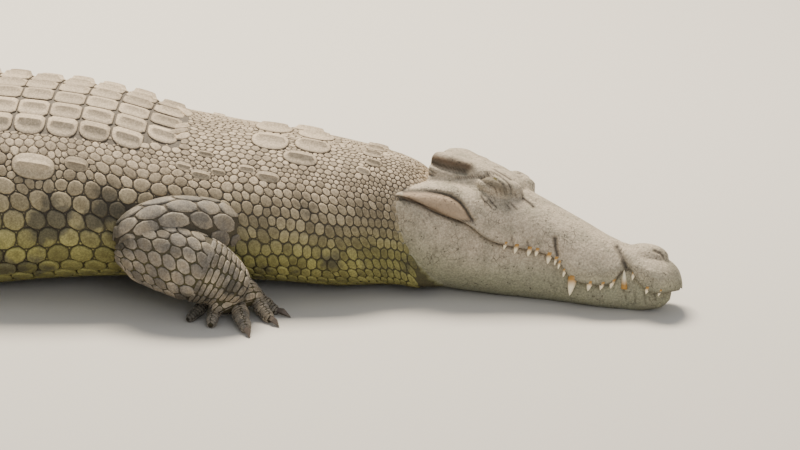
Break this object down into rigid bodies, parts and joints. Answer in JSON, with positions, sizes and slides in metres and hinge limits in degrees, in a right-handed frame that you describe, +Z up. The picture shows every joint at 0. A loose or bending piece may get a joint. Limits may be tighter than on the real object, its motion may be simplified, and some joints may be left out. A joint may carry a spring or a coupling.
{
  "type": "nile crocodile model",
  "caption": "Life-size resting Nile crocodile lying on its belly, mouth closed with teeth showing, eyes shut, tail curved; a still display model that stands on flat floor.",
  "frame": {"origin": "centre of the footprint of the bounding box, on the floor plane", "axes": "+X towards the snout along the trunk, +Y to the animal's left, +Z up"},
  "size_m": [3.951, 1.3186, 0.3743],
  "materials": {
    "head_hide": "dry, cracked, fine grained hide",
    "body_hide": "dry, dusty scaled hide",
    "limb_hide": "dry scaled hide",
    "claw_horn": "satin horn",
    "eye": "wet gloss, mostly behind closed lids"
  },
  "bodies": {
    "root": {"head": "head_hide", "lower_jaw": "head_hide", "neck": "body_hide", "trunk_front": "body_hide", "trunk_rear": "body_hide", "tail_base": "body_hide", "tail_middle": "body_hide", "tail_rear": "body_hide", "tail_tip": "body_hide", "fore_right_upper": "limb_hide", "fore_right_lower": "limb_hide", "fore_right_foot": "limb_hide", "fore_left_upper": "limb_hide", "fore_left_lower": "limb_hide", "fore_left_foot": "limb_hide", "hind_right_upper": "limb_hide", "hind_right_lower": "limb_hide", "hind_right_foot": "limb_hide", "hind_left_upper": "limb_hide", "hind_left_lower": "limb_hide", "hind_left_foot": "limb_hide", "fore_right_claw_1": "claw_horn", "fore_right_claw_2": "claw_horn", "fore_right_claw_3": "claw_horn", "fore_left_claw_1": "claw_horn", "fore_left_claw_2": "claw_horn", "fore_left_claw_3": "claw_horn", "hind_right_claw_1": "claw_horn", "hind_right_claw_2": "claw_horn", "hind_right_claw_3": "claw_horn", "hind_left_claw_1": "claw_horn", "hind_left_claw_2": "claw_horn", "hind_left_claw_3": "claw_horn", "eye_right": "eye", "eye_left": "eye"}
  },
  "joints": []
}
